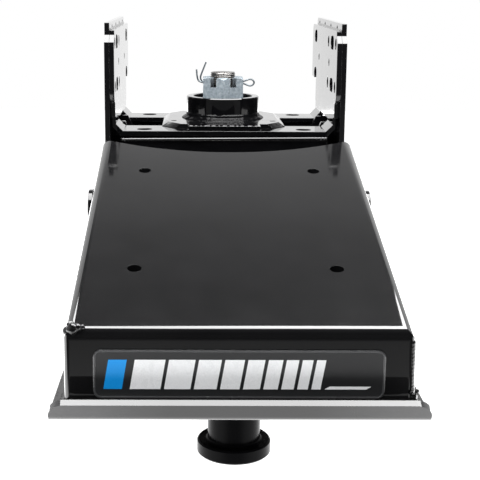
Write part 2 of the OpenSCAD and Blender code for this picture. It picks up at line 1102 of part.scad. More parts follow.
arm_shell();
skid_plate();
belly_plate();
rear_wall();
arch_wall();
turntable_plate();
long_ribs();
bulkheads();
cross_tube();
kingpin();
kingpin_doubler();
spindle();
spindle_gussets();
thrust_ring();
nut_washer();
castle_nut();
cotter_pin();
badge_plate();
wedge();
wedge_bolts();
wedge_washers();
wedge_weld_nuts();
bearing_housing();
bushing_lower();
bushing_upper();
thrust_washer();
grease_fitting();
turret_base_plate();
crossmember_front();
crossmember_rear();
cradle();
cap_plate();
wing_plate_left();
wing_plate_right();
corner_gussets();
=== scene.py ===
"""Looks of the pivoting fifth wheel pin box: finishes, weld beads, threads, badge and cotter pin."""

import json
import math
import random

import bmesh
import bpy
from mathutils import Matrix, Vector, noise


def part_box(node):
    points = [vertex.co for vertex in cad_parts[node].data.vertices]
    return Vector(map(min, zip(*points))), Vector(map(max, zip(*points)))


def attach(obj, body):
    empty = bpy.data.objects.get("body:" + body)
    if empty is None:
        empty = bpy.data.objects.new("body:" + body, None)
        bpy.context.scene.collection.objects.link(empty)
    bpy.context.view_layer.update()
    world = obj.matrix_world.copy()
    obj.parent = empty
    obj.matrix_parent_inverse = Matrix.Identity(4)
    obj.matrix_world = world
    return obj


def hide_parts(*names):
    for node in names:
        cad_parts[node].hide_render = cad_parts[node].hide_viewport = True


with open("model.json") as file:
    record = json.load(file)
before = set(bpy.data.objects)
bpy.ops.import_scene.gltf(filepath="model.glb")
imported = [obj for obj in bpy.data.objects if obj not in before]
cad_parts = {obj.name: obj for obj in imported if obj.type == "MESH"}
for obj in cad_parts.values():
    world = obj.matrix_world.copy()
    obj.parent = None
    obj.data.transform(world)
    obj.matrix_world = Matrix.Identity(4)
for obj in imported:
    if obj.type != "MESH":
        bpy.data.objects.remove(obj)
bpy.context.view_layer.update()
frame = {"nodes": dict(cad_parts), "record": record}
MM = 0.001
X = Vector((1, 0, 0))
Y = Vector((0, 1, 0))
Z = Vector((0, 0, 1))


# ------------------------------------------------------------------ material helpers

class Nodes:
    """A material's node tree, with short ways to add and join nodes."""

    def __init__(self, name):
        self.mat = bpy.data.materials.new(name)
        self.mat.use_nodes = True
        self.tree = self.mat.node_tree
        self.bsdf = self.tree.nodes["Principled BSDF"]
        coords = self.tree.nodes.new("ShaderNodeTexCoord")
        self.here = coords.outputs["Object"]

    def put(self, socket, value):
        if isinstance(value, bpy.types.NodeSocket):
            self.tree.links.new(value, socket)
        elif socket.type == "RGBA" and not isinstance(value, (int, float)):
            socket.default_value = (*value[:3], 1.0)
        else:
            socket.default_value = value

    def add(self, kind, settings=None, **inputs):
        node = self.tree.nodes.new(kind)
        for key, value in (settings or {}).items():
            setattr(node, key, value)
        for key, value in inputs.items():
            self.put(node.inputs[key.replace("_", " ")], value)
        return node

    def noise(self, scale, detail=4.0, rough=0.55, vector=None):
        node = self.add("ShaderNodeTexNoise", Scale=scale, Detail=detail, Roughness=rough)
        self.put(node.inputs["Vector"], vector or self.here)
        return node.outputs["Fac"]

    def span(self, value, low, high, to_low, to_high):
        node = self.add("ShaderNodeMapRange")
        for index, number in enumerate((value, low, high, to_low, to_high)):
            self.put(node.inputs[index], number)
        return node.outputs[0]

    def math(self, operation, a, b=0.0):
        node = self.add("ShaderNodeMath", {"operation": operation})
        self.put(node.inputs[0], a)
        self.put(node.inputs[1], b)
        return node.outputs[0]

    def blend(self, factor, a, b):
        node = self.add("ShaderNodeMix", {"data_type": "RGBA"})
        self.put(node.inputs["Factor"], factor)
        self.put(node.inputs[6], a)
        self.put(node.inputs[7], b)
        return node.outputs[2]

    def stretched(self, x, y, z):
        """The object's own coordinates, scaled by axis."""
        node = self.add("ShaderNodeMapping", Vector=self.here)
        node.inputs["Scale"].default_value = (x, y, z)
        return node.outputs[0]

    def edges(self, radius, sharp=0.35):
        """1 on edges within radius, 0 on flat faces, broken up by noise."""
        bevel = self.add("ShaderNodeBevel", {"samples": 4}, Radius=radius)
        normal = self.add("ShaderNodeNewGeometry").outputs["Normal"]
        dot = self.add("ShaderNodeVectorMath", {"operation": "DOT_PRODUCT"})
        self.put(dot.inputs[0], bevel.outputs[0])
        self.put(dot.inputs[1], normal)
        bend = self.math("SUBTRACT", 1.0, dot.outputs["Value"])
        worn = self.span(self.noise(160, 6, 0.7), 0.42, 0.62, 0.0, 1.0)
        return self.math("MULTIPLY", self.span(bend, 0.02, sharp, 0.0, 1.0), worn)

    def painted_shade_in_hollows(self, distance, low, high):
        """Painted shade: 0 deep in corners and slots, 1 in the open."""
        node = self.add("ShaderNodeAmbientOcclusion", {"samples": 6, "only_local": True}, Distance=distance)
        return self.span(node.outputs["AO"], low, high, 0.0, 1.0)

    def for_camera(self, seen, reflected):
        """One value for what the camera sees and another for what reflections see."""
        rays = self.add("ShaderNodeLightPath").outputs["Is Camera Ray"]
        return self.span(rays, 0.0, 1.0, reflected, seen)

    def painted_lip_sheen(self):
        """Painted reflection of the lit floor on the skid plate's front lip, paler towards the two ends."""
        axes = self.add("ShaderNodeSeparateXYZ", Vector=self.here)
        sideways = self.math("ABSOLUTE", axes.outputs["X"])
        front = self.span(axes.outputs["Y"], -0.122, -0.132, 0.0, 1.0)
        ends = self.span(sideways, 0.06, 0.158, 0.0, 1.0)
        grain = self.span(self.noise(60, 6), 0.25, 0.75, 0.75, 1.0)
        return self.math("MULTIPLY", self.math("MULTIPLY", front, ends), grain)

    def bump(self, *layers, normal=None):
        """Stacks (height, strength, distance) layers into one normal and gives it to the surface."""
        for height, strength, distance in layers:
            node = self.add("ShaderNodeBump", Strength=strength, Distance=distance, Height=height)
            if normal is not None:
                self.put(node.inputs["Normal"], normal)
            normal = node.outputs[0]
        self.put(self.bsdf.inputs["Normal"], normal)

    def surface(self, **inputs):
        for key, value in inputs.items():
            self.put(self.bsdf.inputs[key.replace("_", " ")], value)


def powder_coat(name="arm_powder_coat", with_lip_sheen=False):
    """Satin black powder coat with a fine orange peel, over plate that isn't quite flat."""
    n = Nodes(name)
    cloud = n.noise(9, 5)
    worn = n.edges(0.0009)
    base = n.blend(n.span(cloud, 0.3, 0.7, 0, 1), (0.0024, 0.0024, 0.0026), (0.0036, 0.0036, 0.0039))
    if with_lip_sheen:
        # painted reflection: the lip's colour is made pale, most at its two ends
        base = n.blend(n.painted_lip_sheen(), base, (0.045, 0.045, 0.046))
    n.surface(
        Base_Color=n.blend(n.math("MULTIPLY", worn, 0.5), base, (0.11, 0.11, 0.112)),
        Roughness=n.span(n.noise(35, 6), 0.3, 0.7, 0.28, 0.38),
        Specular_IOR_Level=0.014,
        Coat_Weight=0.95,
        Coat_IOR=1.5,
        Coat_Roughness=n.span(n.noise(18, 5), 0.3, 0.7, 0.045, 0.085),
    )
    n.bump((n.noise(5, 2), 0.08, 0.004), (n.noise(750, 2), 0.05, 0.0003), (n.noise(2400, 2), 0.04, 0.0001))
    return n.mat


def gloss_enamel(name="bracket_gloss", gloss=1.0):
    """Gloss black enamel, with slow waves, fine dust nibs and thin paint along the edges."""
    n = Nodes(name)
    worn = n.edges(0.0008)
    cloud = n.noise(22, 6)
    base = n.blend(n.span(cloud, 0.35, 0.65, 0, 1), (0.0012, 0.0012, 0.0014), (0.0022, 0.0022, 0.0025))
    dust = n.span(n.noise(420, 2), 0.66, 0.74, 0.0, 1.0)
    n.surface(
        Base_Color=n.blend(n.math("MULTIPLY", worn, 0.45), base, (0.13, 0.13, 0.13)),
        Roughness=n.span(n.noise(48, 6, 0.7), 0.3, 0.7, 0.08, 0.17),
        Specular_IOR_Level=0.08 * gloss,
        Coat_Weight=gloss,
        Coat_IOR=1.55,
        Coat_Roughness=n.span(n.noise(30, 4), 0.3, 0.7, 0.03, 0.07),
    )
    n.bump((n.noise(11, 3), 0.14, 0.004), (n.noise(210, 3), 0.09, 0.0005), (dust, 0.25, 0.0002))
    return n.mat


def kingpin_black():
    """Black oxide on a turned and forged pin, with faint tool rings."""
    n = Nodes("kingpin_black")
    rings = n.noise(1.0, 3, 0.7, n.stretched(6, 6, 1500))
    worn = n.edges(0.0012)
    n.surface(
        Base_Color=n.blend(worn, (0.002, 0.002, 0.0023), (0.03, 0.03, 0.031)),
        Roughness=n.span(n.noise(70, 5), 0.3, 0.7, 0.14, 0.24),
        Specular_IOR_Level=0.02,
    )
    n.bump((rings, 0.18, 0.0003), (n.noise(900, 2), 0.12, 0.0002))
    return n.mat


def zinc_plate(name="zinc_plate", rough=0.0, tint=1.0):
    """Slightly blue galvanised zinc with a pale bloom, and painted shade that darkens it in its slots and
    corners.
    """
    n = Nodes(name)
    spangle = n.add("ShaderNodeTexVoronoi", Scale=330.0, Vector=n.here).outputs["Color"]
    tone = n.add("ShaderNodeRGBToBW", Color=spangle).outputs[0]
    patch = n.noise(260, 6, 0.65)
    dark, light, even = (
        tuple(tint * c for c in color)
        for color in ((0.14, 0.17, 0.195), (0.33, 0.37, 0.395), (0.2, 0.235, 0.265))
    )
    pale = n.blend(n.span(patch, 0.35, 0.65, 0, 1), dark, light)
    color = n.blend(n.span(tone, 0.2, 0.8, 0.0, 0.45), pale, even)
    n.surface(
        # painted shade: the zinc's colour goes dark in slots and corners
        Base_Color=n.blend(n.painted_shade_in_hollows(0.014, 0.5, 0.95), (0.03, 0.034, 0.04), color),
        Metallic=0.5,
        Roughness=n.span(n.noise(520, 5), 0.3, 0.7, 0.34 + rough, 0.58 + rough),
    )
    n.bump((n.noise(900, 4, 0.7), 0.32, 0.0004), (tone, 0.08, 0.0003))
    return n.mat


def turned_steel(name="turned_steel", clean=(0.42, 0.42, 0.42), oiled=(0.25, 0.23, 0.2)):
    """Bare turned steel with fine rings round the spindle and a brownish film of oil."""
    n = Nodes(name)
    film = n.span(n.noise(60, 5), 0.35, 0.7, 0, 1)
    n.surface(
        Base_Color=n.blend(film, clean, oiled),
        Metallic=1.0,
        Roughness=n.span(n.noise(300, 5), 0.3, 0.7, 0.24, 0.44),
    )
    n.bump((n.noise(1.0, 2, 0.6, n.stretched(4, 4, 2200)), 0.25, 0.0002))
    return n.mat


def bearing_bronze():
    """Sintered bronze with fine pores and darker oil stains."""
    n = Nodes("bearing_bronze")
    stain = n.span(n.noise(45, 6), 0.4, 0.66, 0, 1)
    n.surface(
        Base_Color=n.blend(stain, (0.56, 0.35, 0.15), (0.27, 0.16, 0.07)),
        Metallic=0.95,
        Roughness=n.span(n.noise(400, 4), 0.3, 0.7, 0.28, 0.48),
    )
    n.bump((n.noise(2600, 2), 0.2, 0.0001))
    return n.mat


def bearing_plastic():
    """Natural low-friction plastic, waxy and slightly translucent."""
    n = Nodes("bearing_plastic")
    n.surface(
        Base_Color=n.blend(n.span(n.noise(30, 5), 0.3, 0.7, 0, 1), (0.66, 0.66, 0.62), (0.78, 0.78, 0.75)),
        Roughness=n.span(n.noise(200, 4), 0.3, 0.7, 0.38, 0.55),
        Subsurface_Weight=0.1,
        Subsurface_Radius=(0.002, 0.002, 0.002),
    )
    n.bump((n.noise(800, 3), 0.1, 0.0002))
    return n.mat


def film(name, color, lighter, rough=0.33):
    """Printed film of a decal: an even ink with a fine grain."""
    n = Nodes(name)
    n.surface(
        Base_Color=n.blend(n.span(n.noise(1400, 3), 0.3, 0.7, 0, 1), color, lighter),
        Roughness=n.span(n.noise(90, 5), 0.3, 0.7, rough - 0.05, rough + 0.07),
        Coat_Weight=0.25,
        Coat_Roughness=0.15,
    )
    n.bump((n.noise(1800, 2), 0.06, 0.0001))
    return n.mat


MAT = {
    "arm_powder_coat": powder_coat(),
    "bracket_gloss": gloss_enamel(),
    "kingpin_black": kingpin_black(),
    "zinc_plate": zinc_plate(),
    "turned_steel": turned_steel(),
    "bearing_bronze": bearing_bronze(),
    "bearing_plastic": bearing_plastic(),
    "badge_film": film("badge_film", (0.012, 0.0123, 0.013), (0.017, 0.0173, 0.0185)),
}
WELD_PAINT = gloss_enamel("weld_paint", 0.16)
STUD = turned_steel("stud_steel", (0.28, 0.275, 0.27), (0.13, 0.12, 0.11))
WIRE = zinc_plate("cotter_zinc", -0.12, 0.45)
# the skid plate's coat has a painted reflection on its front lip
OWN_FINISH = {"skid_plate": powder_coat("skid_powder_coat", with_lip_sheen=True)}
INK_BLUE = film("ink_blue", (0.0, 0.24, 0.66), (0.005, 0.28, 0.72))
INK_PALE = film("ink_pale", (0.74, 0.75, 0.76), (0.84, 0.85, 0.86), 0.28)
INK_EDGE = film("ink_edge", (0.04, 0.041, 0.043), (0.055, 0.056, 0.058), 0.22)


# ------------------------------------------------------------------ carried-over CAD nodes

def smooth_shading():
    """A node group that shades every face smooth, ahead of the weighted normals."""
    group = bpy.data.node_groups.new("smooth_shading", "GeometryNodeTree")
    group.interface.new_socket("Geometry", in_out="INPUT", socket_type="NodeSocketGeometry")
    group.interface.new_socket("Geometry", in_out="OUTPUT", socket_type="NodeSocketGeometry")
    start = group.nodes.new("NodeGroupInput")
    end = group.nodes.new("NodeGroupOutput")
    smooth = group.nodes.new("GeometryNodeSetShadeSmooth")
    group.links.new(start.outputs[0], smooth.inputs["Geometry"])
    group.links.new(smooth.outputs[0], end.inputs[0])
    return group


def finish_nodes():
    """Gives every CAD node its finish, and rounds its edges as sheared and machined metal is."""
    slots = {s["node"]: s["material_slot"] for s in frame["record"]["subparts"]}
    edge = {
        "arm_shell": 0.9, "skid_plate": 1.0, "cradle": 0.9, "wing_plate_left": 1.0,
        "wing_plate_right": 1.0, "cap_plate": 0.9, "turntable_plate": 1.2, "kingpin": 0.8,
        "bearing_housing": 0.7, "badge_plate": 0.4, "wedge": 1.5, "castle_nut": 0.5,
    }
    group = smooth_shading()
    for name, obj in frame["nodes"].items():
        obj.data.materials.clear()
        obj.data.materials.append(OWN_FINISH.get(name, MAT[slots[name]]))
        weld = obj.modifiers.new("weld", "WELD")
        weld.merge_threshold = 1e-5
        flat = obj.modifiers.new("flat", "DECIMATE")
        flat.decimate_type = "DISSOLVE"
        flat.angle_limit = math.radians(0.4)
        smooth = obj.modifiers.new("smooth", "NODES")
        smooth.node_group = group
        bevel = obj.modifiers.new("edge", "BEVEL")
        bevel.width = edge.get(name, 0.6) * MM
        bevel.segments = 2
        bevel.limit_method = "ANGLE"
        bevel.angle_limit = math.radians(35)
        bevel.use_clamp_overlap = True
        weighted = obj.modifiers.new("weighted", "WEIGHTED_NORMAL")
        weighted.mode = "FACE_AREA"
        weighted.weight = 100
        weighted.thresh = 0.01


finish_nodes()


# ------------------------------------------------------------------ mesh helpers

def corners(node):
    """Lowest and highest corner of a CAD node, in metres."""
    low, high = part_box(node)
    return Vector(low), Vector(high)


def piece(name, bm, slot_name, body, replaced=(), finish=None):
    """Turns a bmesh into a smooth piece that rides on a body."""
    bmesh.ops.recalc_face_normals(bm, faces=bm.faces)
    for face in bm.faces:
        face.smooth = True
    mesh = bpy.data.meshes.new(name)
    bm.to_mesh(mesh)
    bm.free()
    obj = bpy.data.objects.new(name, mesh)
    bpy.context.scene.collection.objects.link(obj)
    mesh.materials.append(finish or MAT[slot_name])
    if replaced:
        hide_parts(*replaced)
    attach(obj, body)
    return obj


def keep_edges(obj, degrees=30):
    """Keeps the sharp edges of a turned or sheared piece sharp under smooth shading."""
    obj.data.set_sharp_from_angle(angle=math.radians(degrees))
    return obj


def skin(bm, rings, closed):
    """Joins rings of vertices into a tube, capped at both ends unless it is closed."""
    count = len(rings[0])
    steps = len(rings) if closed else len(rings) - 1
    for i in range(steps):
        a = rings[i]
        b = rings[(i + 1) % len(rings)]
        for j in range(count):
            k = (j + 1) % count
            bm.faces.new((a[j], a[k], b[k], b[j]))
    if not closed:
        bm.faces.new(rings[0])
        bm.faces.new(list(reversed(rings[-1])))


def resample(path, step):
    """Points at an even spacing along a line of points, and their distances from its start."""
    lengths = [0.0]
    for a, b in zip(path, path[1:]):
        lengths.append(lengths[-1] + (b - a).length)
    count = max(2, round(lengths[-1] / step))
    points = []
    i = 0
    for k in range(count + 1):
        s = lengths[-1] * k / count
        while i < len(path) - 2 and lengths[i + 1] < s:
            i += 1
        t = (s - lengths[i]) / (lengths[i + 1] - lengths[i])
        points.append(path[i].lerp(path[i + 1], t))
    return points, lengths[-1]


def arc(center, radius, start, stop, z, count=96):
    """Points on a level arc, from one angle to another in degrees."""
    points = []
    for k in range(count + 1):
        a = math.radians(start + (stop - start) * k / count)
        points.append(Vector((center.x + radius * math.cos(a), center.y + radius * math.sin(a), z)))
    return points


# ------------------------------------------------------------------ weld beads

def bead_mesh(bm, path, out, leg, pitch, closed, seed, lump=0.08):
    """Adds one weld bead along a path: a rounded bar with stacked crescent ripples."""
    points, length = resample(path, 0.55 * MM)
    if closed:
        points.pop()
    sides = 14
    rings = []
    for i, point in enumerate(points):
        before = points[i - 1] if closed or i else points[0]
        after = points[(i + 1) % len(points)] if closed or i + 1 < len(points) else points[-1]
        along = (after - before).normalized()
        normal = out(point) if callable(out) else out
        side = along.cross(normal).normalized()
        s = length * i / max(1, len(points) - (0 if closed else 1))
        rough = noise.noise(Vector((s * 260, seed * 7.3, 0)))
        slow = noise.noise(Vector((s * 55, seed * 3.1, 5)))
        size = leg * (1 + lump * rough + lump * slow)
        if not closed:
            near = min(s, length - s) / leg
            size *= math.sqrt(max(0.02, 1 - max(0.0, 1 - near) ** 2))
        wander = side * leg * lump * 0.8 * slow
        ring = []
        for j in range(sides):
            a = 2 * math.pi * j / sides
            lean = 0.7 * leg * math.sin(a) ** 2
            ripple = abs(math.sin(math.pi * (s + lean) / pitch)) ** 0.7
            grow = size * (0.90 + 0.13 * ripple)
            lift = math.cos(a) * (0.62 if math.cos(a) > 0 else 0.45)
            ring.append(bm.verts.new(point + wander + normal * lift * grow + side * math.sin(a) * grow))
        rings.append(ring)
    skin(bm, rings, closed)


def weld(name, body, slot_name, runs, leg=4.0, pitch=2.3, closed=False, seed=1, lump=0.08):
    """One piece made of weld beads; runs is a list of (path, outward direction)."""
    bm = bmesh.new()
    for i, (path, out) in enumerate(runs):
        bead_mesh(bm, path, out, leg * MM, pitch * MM, closed, seed + i, lump)
    return piece(name, bm, slot_name, body)


def blobs(name, body, slot_name, spots, seed):
    """Lumps of weld metal, each a squashed and roughened ball: (centre, radius)."""
    bm = bmesh.new()
    for i, (center, radius) in enumerate(spots):
        made = bmesh.ops.create_icosphere(bm, subdivisions=3, radius=radius)
        for vert in made["verts"]:
            bumpy = 1 + 0.22 * noise.noise(vert.co * (1.1 / radius) + Vector((seed, i * 3.7, 0)))
            vert.co = center + vert.co * bumpy
    return piece(name, bm, slot_name, body)


def spatter(name, body, slot_name, areas, seed):
    """Fine weld spatter: small flattened balls on level plates, (low corner, high corner, count)."""
    rng = random.Random(seed)
    bm = bmesh.new()
    for low, high, count in areas:
        for _ in range(count):
            spot = Vector((rng.uniform(low.x, high.x), rng.uniform(low.y, high.y), low.z))
            radius = rng.uniform(0.25, 0.75) * MM
            made = bmesh.ops.create_icosphere(bm, subdivisions=2, radius=radius)
            for vert in made["verts"]:
                vert.co = spot + Vector((vert.co.x, vert.co.y, vert.co.z * 0.7))
    return piece(name, bm, slot_name, body)


def arm_welds():
    low, high = corners("arm_shell")
    skid_end = corners("wedge")[1].y + 210 * MM
    foot = low.z
    front = low.y
    fold = foot + 67 * MM
    skid_x = corners("skid_plate")[1].x
    up_in = 6 * MM

    runs = []
    for sign in (-1, 1):
        x = sign * high.x
        runs.append((
            [Vector((x, front + up_in, foot)), Vector((x, skid_end, foot))],
            Vector((sign, 0, 1)).normalized(),
        ))
    weld("weld_arm_foot_sides", "arm", "arm_powder_coat", runs, leg=4.2, pitch=2.6, seed=3, lump=0.14)
    weld("weld_arm_foot_front", "arm", "arm_powder_coat", [(
        [Vector((-high.x + up_in, front, foot)), Vector((high.x - up_in, front, foot))],
        Vector((0, -1, 1)).normalized(),
    )], leg=3.4, seed=11)

    inset = up_in * (1 - math.sqrt(0.5))
    x = high.x - inset
    weld("weld_arm_corner", "arm", "arm_powder_coat", [(
        [Vector((x, front + inset, foot + 2 * MM)), Vector((x, front + inset, fold - 9 * MM))],
        Vector((1, -1, 0)).normalized(),
    )], leg=2.6, pitch=3.3, seed=24, lump=0.12)

    corner = Vector((-high.x, front, fold))
    blobs("weld_fold_left", "arm", "arm_powder_coat", [
        (corner + Vector((8.0, 5.0, -0.6)) * MM, 5.6 * MM),
        (corner + Vector((13.0, 4.4, 0.4)) * MM, 3.8 * MM),
        (corner + Vector((4.2, 6.5, -3.0)) * MM, 4.4 * MM),
        (corner + Vector((6.0, 8.5, 1.6)) * MM, 3.6 * MM),
        (corner + Vector((16.5, 4.8, 1.0)) * MM, 2.4 * MM),
    ], seed=2)
    corner = Vector((high.x, front, foot))
    blobs("weld_foot_right", "arm", "arm_powder_coat", [
        (corner + Vector((0.2, 1.0, 7.5)) * MM, 3.0 * MM),
        (corner + Vector((2.6, 0.2, 12.5)) * MM, 2.0 * MM),
        (corner + Vector((-2.6, -1.2, 11.5)) * MM, 1.9 * MM),
        (corner + Vector((0.6, 2.0, 2.5)) * MM, 3.8 * MM),
    ], seed=5)

    areas = []
    for sign in (-1, 1):
        inner = sign * (high.x + 2 * MM)
        outer = sign * (skid_x - 1 * MM)
        areas.append((
            Vector((min(inner, outer), front - 10 * MM, foot)),
            Vector((max(inner, outer), skid_end, foot)),
            190,
        ))
    spatter("weld_spatter_arm", "arm", "arm_powder_coat", areas, seed=7)


def rear_base_welds():
    """Seams round the rear base of the arm, under and over the turntable plate."""
    low, high = corners("turntable_plate")
    wall_low, wall_high = corners("rear_wall")
    pivot = Vector((0, wall_low.y, 0))
    radius = wall_high.x

    def outward(lift):
        return lambda p: (Vector((p.x, p.y - pivot.y, 0)).normalized() + Z * lift).normalized()

    weld("weld_turntable_under", "arm", "arm_powder_coat", [
        (arc(pivot, radius, 4, 176, low.z), outward(-1)),
    ], leg=5, seed=31)
    weld("weld_belly_seam", "arm", "arm_powder_coat", [
        (arc(pivot, radius, 2, 178, wall_low.z), outward(0)),
    ], leg=2.6, seed=33)
    runs = []
    for sign in (-1, 1):
        runs.append((
            [
                Vector((sign * radius, pivot.y - 125 * MM, low.z)),
                Vector((sign * radius, pivot.y - 2 * MM, low.z)),
            ],
            X * sign,
        ))
    weld("weld_base_rails", "arm", "arm_powder_coat", runs, leg=2.8, seed=35)

    arch_low = corners("arch_wall")[0]
    arch_radius = 300 * MM
    arch_center = Vector((0, arch_low.y + arch_radius + 6.35 * MM, 0))
    half = math.degrees(math.asin((radius - 8 * MM) / arch_radius))
    weld("weld_arch_foot", "arm", "arm_powder_coat", [(
        arc(arch_center, arch_radius, -90 - half, -90 + half, high.z),
        lambda p: ((arch_center - Vector((p.x, p.y, 0))).normalized() + Z).normalized(),
    )], leg=4.5, seed=37)


def cross_tube_welds():
    low, high = corners("cross_tube")
    center = (low + high) / 2
    radius = (high.z - low.z) / 2
    arm_x = corners("arm_shell")[1].x
    runs = []
    for sign in (-1, 1):
        ring = []
        for k in range(73):
            a = 2 * math.pi * k / 72
            ring.append(Vector((
                sign * arm_x,
                center.y + radius * math.cos(a),
                center.z + radius * math.sin(a),
            )))

        def out(p, sign=sign):
            return (Vector((0, p.y - center.y, p.z - center.z)).normalized() + X * sign).normalized()

        runs.append((ring, out))
    weld("weld_cross_tube", "arm", "arm_powder_coat", runs, leg=4.0, closed=True, seed=41)


def hollow_fillet(bm, center, radius, level):
    """A heavy fillet round the housing, steep at the wall and shallow towards its toe."""
    toe = 6.8
    top = 8.5
    face = (
        (0, top), (0.5, 6.0), (0.9, 4.4), (1.3, 3.6),
        (2.4, 3.0), (3.5, 2.3), (4.6, 1.6), (5.7, 0.8), (toe, 0),
    )
    buried = ((toe, -1.5), (-2, -1.5), (-2, top))
    foot = Vector((center.x, center.y, level))
    count = 360
    rings = []
    for k in range(count):
        a = 2 * math.pi * k / count
        way = Vector((math.cos(a), math.sin(a), 0))
        slow = noise.noise(way * 5)
        ring = []
        for j, (out, up) in enumerate(face + buried):
            if j < len(face):
                ripple = abs(math.sin(k * 0.262 + 0.25 * j)) ** 0.7
                rough = noise.noise(way * 22 + Z * j * 0.9)
                out += 0.7 * slow + 0.3 * rough
                up += 0.5 * slow + 0.35 * rough + 0.28 * ripple
            ring.append(bm.verts.new(foot + way * (radius + out * MM) + Z * up * MM))
        rings.append(ring)
    skin(bm, rings, True)


def housing_welds():
    """The heavy fillet at the foot of the bearing housing, and the runs round the cap plate."""
    low, high = corners("bearing_housing")
    cap_low, cap_high = corners("cap_plate")
    center = (low + high) / 2
    radius = (high.x - low.x) / 2
    bm = bmesh.new()
    hollow_fillet(bm, center, radius, cap_high.z)
    piece("weld_housing_top", bm, "bracket_gloss", "bracket", finish=WELD_PAINT)
    weld("weld_housing_base", "bracket", "bracket_gloss", [(
        arc(center, radius, -90, 270, corners("turret_base_plate")[1].z, 180),
        lambda p: (Vector((p.x - center.x, p.y - center.y, 0)).normalized() + Z).normalized(),
    )], leg=6, pitch=3.6, closed=True, seed=53)

    tongue = 47 * MM
    rng = random.Random(9)
    runs = []
    for y, sign in ((cap_low.y, -1), (cap_high.y, 1)):
        x = -tongue
        while x < tongue - 4 * MM:
            stop = min(tongue, x + rng.uniform(2.5, 9) * MM)
            runs.append((
                [Vector((x, y, cap_high.z)), Vector((stop, y, cap_high.z))],
                Vector((0, sign, 1)).normalized(),
            ))
            x = stop + rng.uniform(1.2, 4) * MM
    weld("weld_cap_ends", "bracket", "bracket_gloss", runs, leg=1.3, pitch=4.4, seed=55, lump=0.25)
    runs = []
    side = 48 * MM
    length = 22 * MM
    for y0, y1 in ((cap_low.y, cap_low.y + length), (cap_high.y - length, cap_high.y)):
        for sign in (-1, 1):
            runs.append((
                [Vector((sign * side, y0, cap_low.z)), Vector((sign * side, y1, cap_low.z))],
                Vector((sign, 0, 1)).normalized(),
            ))
    weld("weld_cap_sides", "bracket", "bracket_gloss", runs, leg=3.2, pitch=2.8, seed=57, lump=0.12)


def wing_welds():
    """Seams between the two plies of each wing, and where the bracket's plates meet the wings."""
    inner_high = corners("cradle")[1]
    wing_low, wing_high = corners("wing_plate_right")
    ply = wing_low.x
    front = wing_low.y
    rear = wing_high.y
    runs_top = []
    for sign in (-1, 1):
        x = sign * ply
        runs_top.append((
            [Vector((x, front + 18 * MM, inner_high.z)), Vector((x, rear - 18 * MM, inner_high.z))],
            Vector((-sign, 0, 1)).normalized(),
        ))
    weld("weld_ply_tops", "bracket", "bracket_gloss", runs_top, leg=3.0, pitch=2.6, seed=61, lump=0.12)

    base_low, base_high = corners("turret_base_plate")
    runs = []
    for sign in (-1, 1):
        runs.append((
            [
                Vector((sign * ply, base_low.y + 8 * MM, base_low.z)),
                Vector((sign * ply, base_high.y - 8 * MM, base_low.z)),
            ],
            Vector((-sign, 0, -1)).normalized(),
        ))
    weld("weld_base_plate", "bracket", "bracket_gloss", runs, leg=1.8, seed=71)

    runs = []
    for node, way in (("crossmember_front", -1), ("crossmember_rear", 1)):
        low, high = corners(node)
        y = low.y if way < 0 else high.y
        for sign in (-1, 1):
            runs.append((
                [Vector((sign * ply, y, low.z + 4 * MM)), Vector((sign * ply, y, high.z - 18 * MM))],
                Vector((-sign, way, 0)).normalized(),
            ))
    weld("weld_channel_ends", "bracket", "bracket_gloss", runs, leg=3.6, pitch=2.8, seed=73, lump=0.14)

    reach = 137 * MM
    runs = []
    for node, way in (("crossmember_front", -1), ("crossmember_rear", 1)):
        low, high = corners(node)
        y = low.y if way < 0 else high.y
        runs.append((
            [
                Vector((-reach, y + way * 1.3 * MM, high.z - 5.2 * MM)),
                Vector((reach, y + way * 1.3 * MM, high.z - 2.8 * MM)),
            ],
            Vector((0, way, 0.35)).normalized(),
        ))
    weld("weld_strap_under", "bracket", "bracket_gloss", runs, leg=2.0, pitch=4.6, seed=77, lump=0.05)


# ------------------------------------------------------------------ stud, spindle, cotter pin

def lathe(bm, center, profile, sides=96):
    """Turns an outline of (radius, height) about the vertical axis through a centre."""
    rings = []
    for radius, height in profile:
        if radius == 0:
            rings.append([bm.verts.new(Vector((center.x, center.y, height)))])
            continue
        ring = []
        for k in range(sides):
            a = 2 * math.pi * k / sides
            ring.append(bm.verts.new(Vector((
                center.x + radius * math.cos(a), center.y + radius * math.sin(a), height
            ))))
        rings.append(ring)
    for a, b in zip(rings, rings[1:]):
        for k in range(sides):
            m = (k + 1) % sides
            if len(a) == 1:
                bm.faces.new((a[0], b[k], b[m]))
            elif len(b) == 1:
                bm.faces.new((a[k], a[m], b[0]))
            else:
                bm.faces.new((a[k], a[m], b[m], b[k]))


